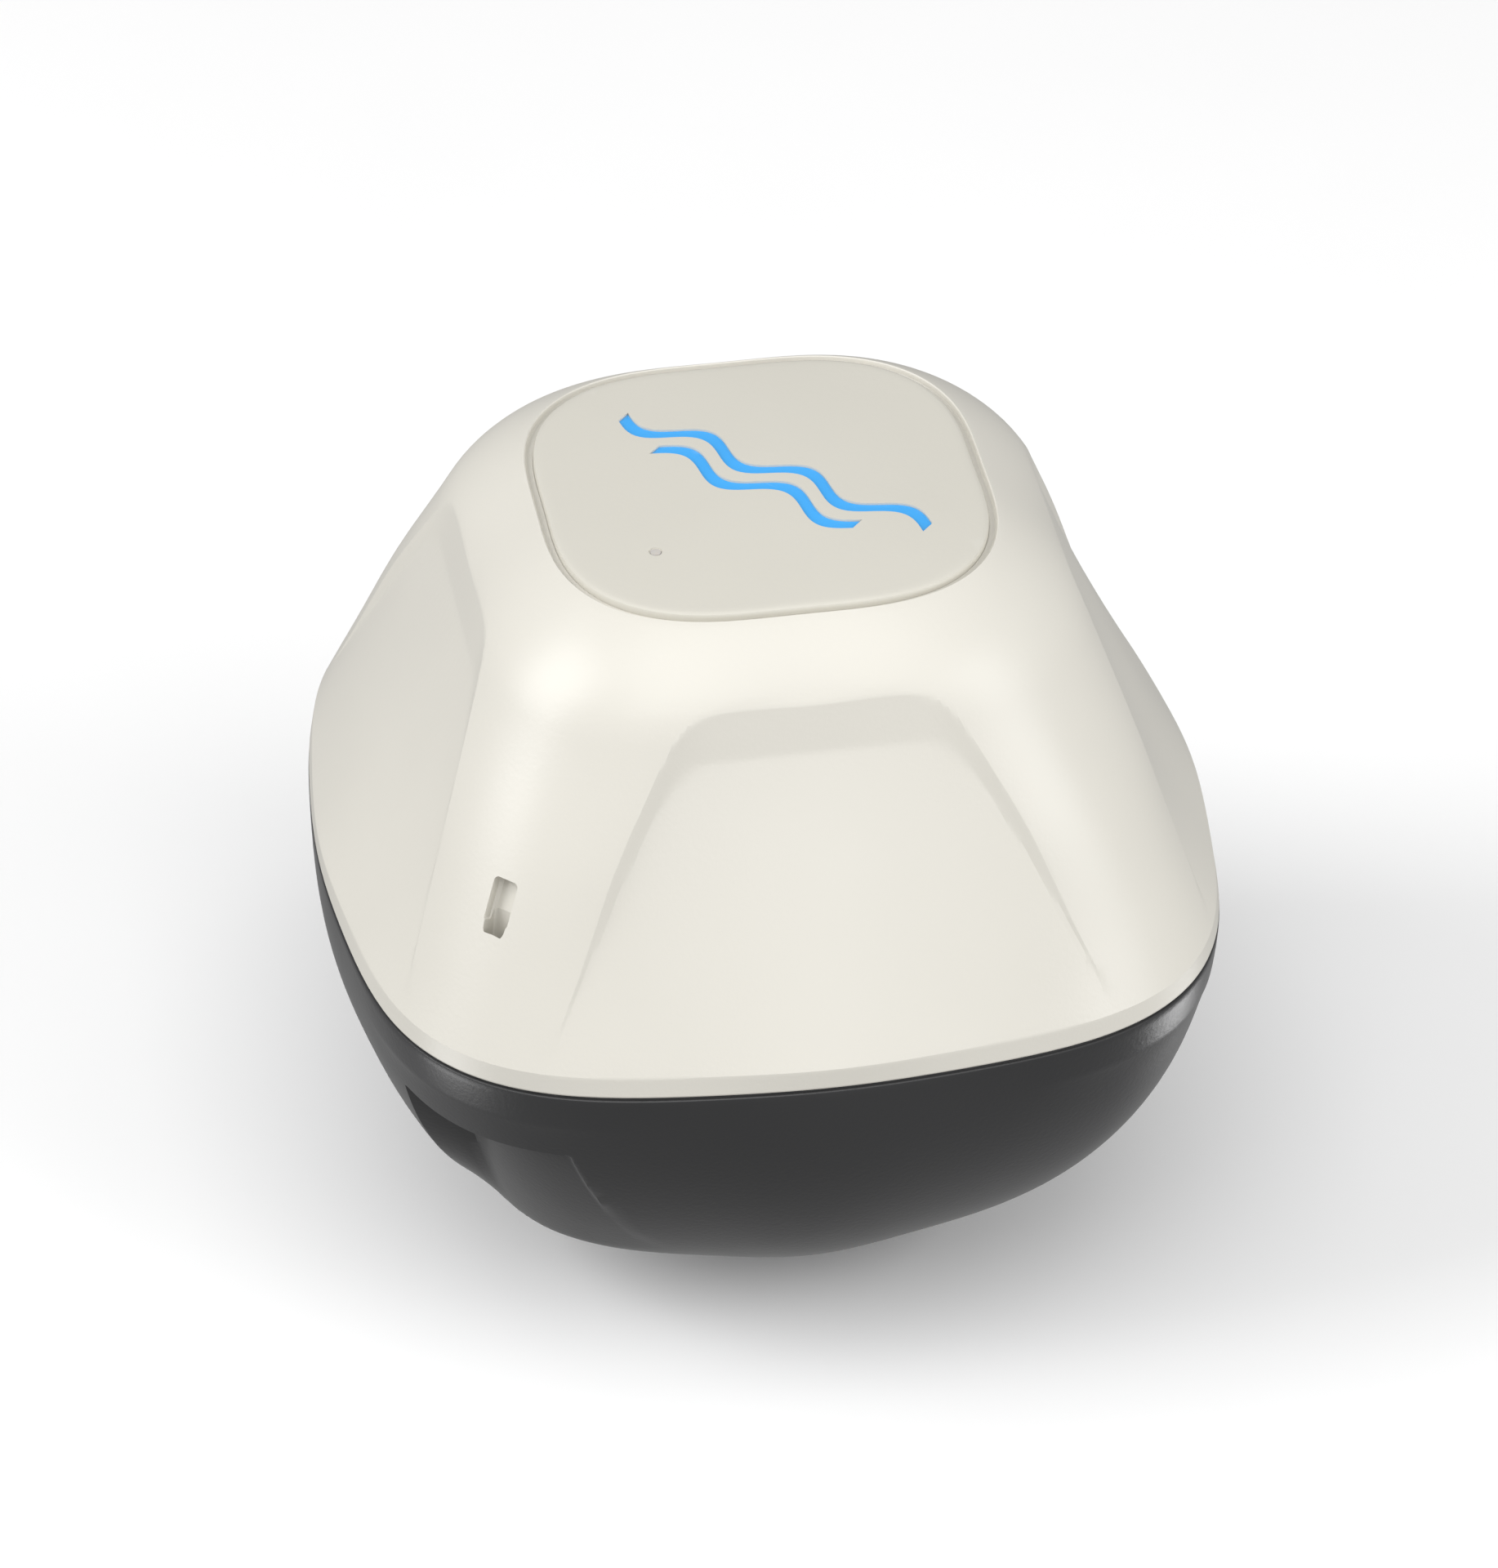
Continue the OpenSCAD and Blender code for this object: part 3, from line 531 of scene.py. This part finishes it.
def dome_columns(h):
    """Angles of a ring, with columns along the two edges of the walls beside the panels."""
    foot = min(max(h, 6.5), 25.5)
    inner = wall_angle(foot, panel_floor(wall_angle(foot, panel_floor(27, foot)), foot))
    outer = wall_angle(foot, ridge(wall_angle(foot, ridge(30, foot)), foot))
    degrees = math.degrees(1 / float(ridge(30, foot)))
    middle = 0.5 * (inner + outer)
    half = max(0.5 * (outer - inner), 0.4 * degrees)
    low, high = middle - half, middle + half
    away = EDGE_STEPS * degrees
    return around(np.concatenate([
        np.linspace(0, low - away[-1], 14)[:-1],
        low - away[::-1], [low], low + away[:1], [lerp(low, high, 0.33), lerp(low, high, 0.67)],
        high - away[:1], [high], high + away,
        np.linspace(high + away[-1], 45, 13)[1:],
    ]))


def steps_near(edge, spread):
    return [edge + s * d for s in (-1, 1) for d in spread] + [edge]


def dome_heights():
    rows = list(np.linspace(BAND_H + 0.5, PANEL_TOP_H - 0.9, 56))
    rows += steps_near(BAND_H, (0.12, 0.28)) + [1.2, 0.8]
    rows += steps_near(PANEL_TOP_H, (0.08, 0.2, 0.5)) + [23.7, 24.2, 24.7, 25.2]
    rows += steps_near(PANEL_CREST_H, (0.08, 0.2, 0.45)) + list(np.linspace(27.1, 30.7, 16))
    return sorted(rows, reverse=True)


def shell_inside(a, h):
    panels = np.maximum(panel_floor(a, h), np.maximum(panel_step(a, h), panel_wall(a, h)))
    return np.minimum(ridge(a, h + INSIDE_RISE), panels - INSIDE_GAP) - WALL


def corner_place(angle, r=0.0, z=0.0, lean=0.0):
    return (Matrix.Rotation(math.radians(angle), 4, "Z") @ Matrix.Translation((r, 0, z))
            @ Matrix.Rotation(math.radians(-lean), 4, "Y"))


SLOT_PLACE = corner_place(SCOOP_SIDE, SLOT_TOP[0], SLOT_TOP[1], SLOT_LEAN)


def slot_cutter():
    shape = rounded_outline(-SLOT_L / 2, SLOT_L / 2, -SLOT_W / 2, SLOT_W / 2, 0.3, 5)
    return prism("slot_cutter", shape, [(0, SLOT_FOOT), (0, 1)], SLOT_PLACE)


def slot_mouth():
    """Window in the ridge where the slot comes out, square to the surface."""
    shape = rounded_outline(-SLOT_MOUTH_L / 2, SLOT_MOUTH_L / 2, -SLOT_MOUTH_W / 2,
                            SLOT_MOUTH_W / 2, 0.4, 8)
    place = corner_place(SCOOP_SIDE, SLOT_TOP[0], SLOT_TOP[1], SLOT_MOUTH_LEAN)
    return prism("slot_mouth", shape, [(0.25, -1.1), (0, -0.85), (0, 3)], place)


def slot_boss(low, high):
    return block("slot_boss", -2.8, 2.2, -2.4, 2.4, low, high, SLOT_PLACE)


def dome_core(inset):
    a = np.arange(0, 360, 3.75)
    rows = [(a, dome(a, h) - inset, h) for h in np.linspace(29, 0.1, 13)]
    return lathe("core", rows, 29, 0.1)


def hull_core(inset):
    a = np.arange(0, 360, 3.75)
    rows = [(a, hull(a, h) - inset, -h) for h in np.linspace(0.1, 30.4, 16)]
    return lathe("core", rows, -0.1, -30.4)


def column(angle, low, high):
    return turned("column", [(COLUMN_R, low), (COLUMN_R, high)], 48,
                  (SCREW_R * cosd(angle), SCREW_R * sind(angle)))


def build_upper_shell():
    top = dome_columns(30)
    rows = [
        (top, cover_outline(top, -0.45), SEAT_H),
        (top, cover_outline(top, -0.4), GROOVE_FOOT_H),
        (top, cover_outline(top, 0.0), GROOVE_FOOT_H),
        (top, cover_outline(top, 0.12), GROOVE_FOOT_H + 0.1),
        (top, cover_outline(top, 0.17), 30.60),
        (top, cover_outline(top, 0.22), 30.74),
        (top, cover_outline(top, 0.30), 30.80),
    ]
    for h in dome_heights():
        columns = dome_columns(h)
        rows.append((columns, dome(columns, h), h))
    foot = dome_columns(0)
    rows += [
        (foot, dome(foot, 0.3), 0.3),
        (foot, dome(foot, 0.3) - 0.03, 0.19),
        (foot, dome(foot, 0.3) - 0.12, 0.12),
        (foot, dome(foot, 0.3) - 0.25, 0.1),
    ]
    for h in np.linspace(0.1, 28, 10):
        rows.append((foot, shell_inside(foot, h), h))
    shell = lathe("upper_shell_moulding", rows, SEAT_H, 28)
    for inner in [column(angle, 0.1, 29) for angle in CORNERS] + [slot_boss(-13.5, 2)]:
        combine(shell, "UNION", combine(inner, "INTERSECT", dome_core(0.8)))
    combine(shell, "DIFFERENCE", slot_cutter(), slot_mouth())
    finish_piece(shell, "upper_shell", "float_body", "shell_plastic", 14)


build_upper_shell()


# ---- Top cover and inlay ----

def build_top_cover():
    a = np.arange(0, 360, 1.5)
    edge = cover_outline(a, -0.42)
    rows = [(a, t * (edge - 0.4), DOME_H + COVER_CROWN * (1 - t * t))
            for t in np.linspace(0.03, 1, 34)]
    rows += [(a, edge - 0.22, DOME_H - 0.04), (a, edge - 0.08, DOME_H - 0.12),
             (a, edge, DOME_H - 0.28), (a, edge, GROOVE_FOOT_H - 0.3), (a, edge - 0.1, SEAT_H)]
    cover = lathe("top_cover_plate", rows, DOME_H + COVER_CROWN, SEAT_H)
    for r, low in ((PIPE_R + 0.03, SEAT_H - 1), (PIPE_R + 0.12, DOME_H + 0.17)):
        combine(cover, "DIFFERENCE",
                turned("hole", [(r, low), (r, DOME_H + 2)], 32, LED_AT))
    for stripe in WAVES:
        combine(cover, "DIFFERENCE", wave_solid("cut", stripe, DOME_H - 0.5, DOME_H + 2, 0))
    finish_piece(cover, "top_cover", "float_body", "cover_plastic")


WAVES = ((27, 1.3), (18, -1.3))     # length and offset of each stripe
WAVE_WIDTH = 1.3
WAVE_AMPLITUDE = 1.1
WAVE_LENGTH = 9


def wave_solid(name, stripe, low, high, inset):
    length, offset = stripe
    x = np.linspace(-0.5, 0.5, 73) * (length - 2 * inset)
    y = offset + WAVE_AMPLITUDE * sind(360 * x / WAVE_LENGTH)
    half = WAVE_WIDTH / 2 - inset
    shape = np.vstack([np.column_stack([x, y - half]), np.column_stack([x, y + half])[::-1]])
    turn = Matrix.Translation((*INLAY_AT, 0)) @ Matrix.Rotation(math.radians(INLAY_TURN), 4, "Z")
    return prism(name, shape, [(0, low), (0, high)], turn)


def build_inlay():
    """Both stripes in one piece, with their tops following the cover's crown a little lower."""
    pieces = [wave_solid("cover_inlay_waves", s, DOME_H - 0.45, DOME_H + 1, 0.02) for s in WAVES]
    a = np.arange(0, 360, 3)
    edge = cover_outline(a, -0.7)
    sink = 0.16
    rows = [(a, t * edge, DOME_H + COVER_CROWN * (1 - t * t) - sink)
            for t in np.linspace(0.04, 1, 30)] + [(a, edge, DOME_H - 2)]
    limit = lathe("limit", rows, DOME_H + COVER_CROWN - sink, DOME_H - 2)
    for piece in pieces[1:]:
        combine(pieces[0], "UNION", piece)
    combine(pieces[0], "INTERSECT", limit)
    finish_piece(pieces[0], "cover_inlay", "float_body", "inlay_plastic")


build_top_cover()
build_inlay()


# ---- Lower hull ----

def hull_columns(h):
    """Angles of a ring, closer together near the two sides of the scoop."""
    foot = min(max(h, LEDGE_H), 20)
    radius = float(bowl(SCOOP_SIDE + 12, foot))
    degrees = math.degrees(1 / radius)
    edge = math.degrees(math.asin(min(SCOOP_HALF_W / radius, 0.9)))
    near = np.array([0.12, 0.25, 0.4, 0.6, 0.9]) * degrees
    half = np.concatenate([
        np.linspace(0, edge - near[-1], 10)[:-1], edge - near[::-1], [edge], edge + near,
        np.linspace(edge + near[-1], 45, 22)[1:],
    ])
    side = np.concatenate([-half[::-1], half[1:]])
    rest = np.arange(46.5, 314, 1.25)
    return SCOOP_SIDE + np.concatenate([side, rest])


def port_place():
    out = float(hull(90, PORT_H))
    return (Matrix.Rotation(math.pi, 4, "Z") @ Matrix.Translation((0, -out, -PORT_H))
            @ Matrix.Rotation(math.radians(90 + PORT_TILT), 4, "X"))


PORT = port_place()
ACROSS = Matrix.Rotation(math.pi / 2, 4, "Y")     # turns +Z to +X


def build_lower_hull():
    rows = []
    top = hull_columns(0)
    for h in np.linspace(29.2, 0.1, 14):
        columns = hull_columns(h)
        scooped = bowl(columns, h) - scoop_depth(columns, h, WALL)
        inside = np.minimum(bowl(columns, h + INSIDE_DROP), scooped) - WALL - INSIDE_GAP
        rows.append((columns, inside, -h))
    rim = hull(top, 0.3)
    rows += [(top, rim - 0.25, -0.1), (top, rim - 0.12, -0.12), (top, rim - 0.03, -0.19),
             (top, rim, -0.3)]
    heights = [0.8, 1.5, 2.2, 2.8, 3.1, 3.4, 3.8, 4.3, 4.9, 5.5, 6.0, 6.25]
    heights += [LEDGE_H + d for d in (0, 0.06, 0.125, 0.19, 0.25, 0.4, 0.8)]
    heights += list(np.linspace(7.6, 27, 34))
    heights += [27.6, 28.2, 28.8, 29.4, 29.9, 30.3, 30.6, 30.8, 30.92]
    for h in heights:
        columns = hull_columns(h)
        rows.append((columns, hull(columns, h), -h))
    last = hull_columns(FLOOR_H)
    rows.append((last, hull(last, 30.98) - 0.08, -FLOOR_H))
    body = lathe("lower_hull_moulding", rows, -29.2, -FLOOR_H)
    bosses = [slot_boss(SLOT_FOOT, -12), block("port_boss", *PORT_BOSS, PORT)]
    for inner in [column(angle, -30, -0.1) for angle in CORNERS] + bosses:
        combine(body, "UNION", combine(inner, "INTERSECT", hull_core(0.6)))
    corners = [(SCREW_R * cosd(a), SCREW_R * sind(a)) for a in CORNERS]
    cuts = [turned("well", [(WELL_R, -40), (WELL_R, -HEAD_H)], 64, c) for c in corners]
    cuts += [turned("hole", [(1.4, -HEAD_H - 1), (1.4, 1)], 32, c) for c in corners]
    cuts.append(turned("bore", [(FACE_R - 1.7, -40), (FACE_R - 1.7, -20)], 96))
    for x, y, (head, shank) in ((-CONTACT_R, 0, CONTACT_HOLE), (CONTACT_R, 0, CONTACT_HOLE),
                                (0, CONTACT_R, PROBE_HOLE)):
        cuts.append(turned("head", [(head, -40), (head, -HEAD_SEAT_H)], 48, (x, y)))
        cuts.append(turned("shank", [(shank, -40), (shank, -20)], 32, (x, y)))
    pocket = rounded_outline(-CAP_HALF_W - CAP_GAP, CAP_HALF_W + CAP_GAP,
                             POCKET_FOOT, POCKET_TOP, 1.8, 10)
    cuts.append(prism("pocket", pocket, [(0, -CAP_T - CAP_GAP), (0, 4)], PORT))
    cuts.append(turned("finger", [(2.4, -1.6), (2.4, 4)], 48,
                       place=PORT @ Matrix.Translation((0, POCKET_TOP, 0))))
    neck = CAP_NECK_W + CAP_GAP
    cuts.append(block("trough", -neck, neck, HINGE_V - 2.1, POCKET_FOOT + 0.1,
                      HINGE_W - BARREL_R - CAP_GAP, 4, PORT))
    pin = Matrix.Translation((-6.6, HINGE_V, HINGE_W)) @ ACROSS
    cuts.append(turned("pin_hole", [(PIN_R + 0.02, 0), (PIN_R + 0.02, 13.2)], 32, place=PORT @ pin))
    well = rounded_outline(-4.3, 4.3, -2, 2, 0.8)
    cuts.append(prism("port_well", well, [(0, -4.4), (0, 0)], PORT))
    cuts.append(block("socket_well", -3.85, 3.85, -1.55, 1.55, -7, -4, PORT))
    cuts.append(slot_cutter())
    combine(body, "DIFFERENCE", *cuts)
    finish_piece(body, "lower_hull", "float_body", "hull_plastic")


build_lower_hull()


# ---- Camera, light and floor ----

CAMERA_AZIMUTH = -10.39
CAMERA_ELEVATION = 36.48
CAMERA_DISTANCE = 0.6242
CAMERA_ROLL = 0.217
CAMERA_LENS = 186.65
CAMERA_SHIFT = (-0.00607, 0.0217)
SENSOR_HEIGHT = 36
PICTURE_ASPECT = 1834 / 1920


def direction(azimuth, elevation):
    a, e = math.radians(azimuth), math.radians(elevation)
    return Vector((math.sin(a) * math.cos(e), -math.cos(a) * math.cos(e), math.sin(e)))


def build_camera():
    data = bpy.data.cameras.new("camera")
    data.sensor_fit = "VERTICAL"
    data.sensor_height = SENSOR_HEIGHT
    data.sensor_width = SENSOR_HEIGHT * PICTURE_ASPECT
    data.lens = CAMERA_LENS
    data.shift_x, data.shift_y = CAMERA_SHIFT
    data.clip_start, data.clip_end = 0.01, 20
    camera = bpy.data.objects.new("camera", data)
    back = direction(CAMERA_AZIMUTH, CAMERA_ELEVATION)
    right = Vector((0, 0, 1)).cross(back).normalized()
    up = back.cross(right)
    turn = Matrix((right, up, back)).transposed().to_4x4()
    roll = Matrix.Rotation(math.radians(CAMERA_ROLL), 4, "Z")
    where = Vector((0, 0, PARTING_Z)) + back * CAMERA_DISTANCE
    camera.matrix_world = Matrix.Translation(where) @ turn @ roll
    bpy.context.scene.collection.objects.link(camera)
    bpy.context.scene.camera = camera


def soft_light(name, azimuth, elevation, distance, size, power, shine_only=False):
    """Area light aimed at the float; with shine_only it adds highlights and nothing else."""
    data = bpy.data.lights.new(name, "AREA")
    data.shape = "RECTANGLE"
    data.size, data.size_y = size
    data.energy = power
    light = bpy.data.objects.new(name, data)
    light.visible_diffuse = not shine_only
    back = direction(azimuth, elevation)
    light.matrix_world = (Matrix.Translation(Vector((0, 0, PARTING_Z)) + back * distance)
                          @ back.to_track_quat("Z", "Y").to_matrix().to_4x4())
    bpy.context.scene.collection.objects.link(light)


def build_stage():
    half = 3.0
    mesh = bpy.data.meshes.new("floor")
    mesh.from_pydata([(-half, -half, 0), (half, -half, 0), (half, half, 0), (-half, half, 0)], [],
                     [(0, 1, 2, 3)])
    floor = bpy.data.objects.new("floor", mesh)
    bpy.context.scene.collection.objects.link(floor)
    mesh.materials.append(procedural("floor_paint", "fafafa", 0.9, bump=0, tint=0, wear=0))
    floor.visible_diffuse = False       # the floor shows, but throws no light back up
    floor.visible_glossy = False
    floor.visible_shadow = False        # the two low lights shine past it
    world = bpy.data.worlds.new("studio")
    world.use_nodes = True
    background = world.node_tree.nodes["Background"]
    background.inputs["Color"].default_value = (1, 1, 1, 1)
    background.inputs["Strength"].default_value = 0.36
    bpy.context.scene.world = world


build_camera()
build_stage()
soft_light("key", -10, 62, 1.0, (0.8, 0.8), 4.3)
soft_light("front fill", 8, 14, 1.0, (0.3, 0.3), 0.9)
soft_light("left fill", -88, 32, 0.8, (0.4, 0.6), 4.2)
soft_light("right fill", 52, 24, 0.8, (0.4, 0.6), 3.2)
soft_light("low left", -82, -35, 0.7, (0.3, 0.12), 0.9, shine_only=True)
soft_light("low right", 98, -40, 0.7, (0.3, 0.12), 0.6, shine_only=True)
bpy.context.scene.view_settings.view_transform = "Standard"
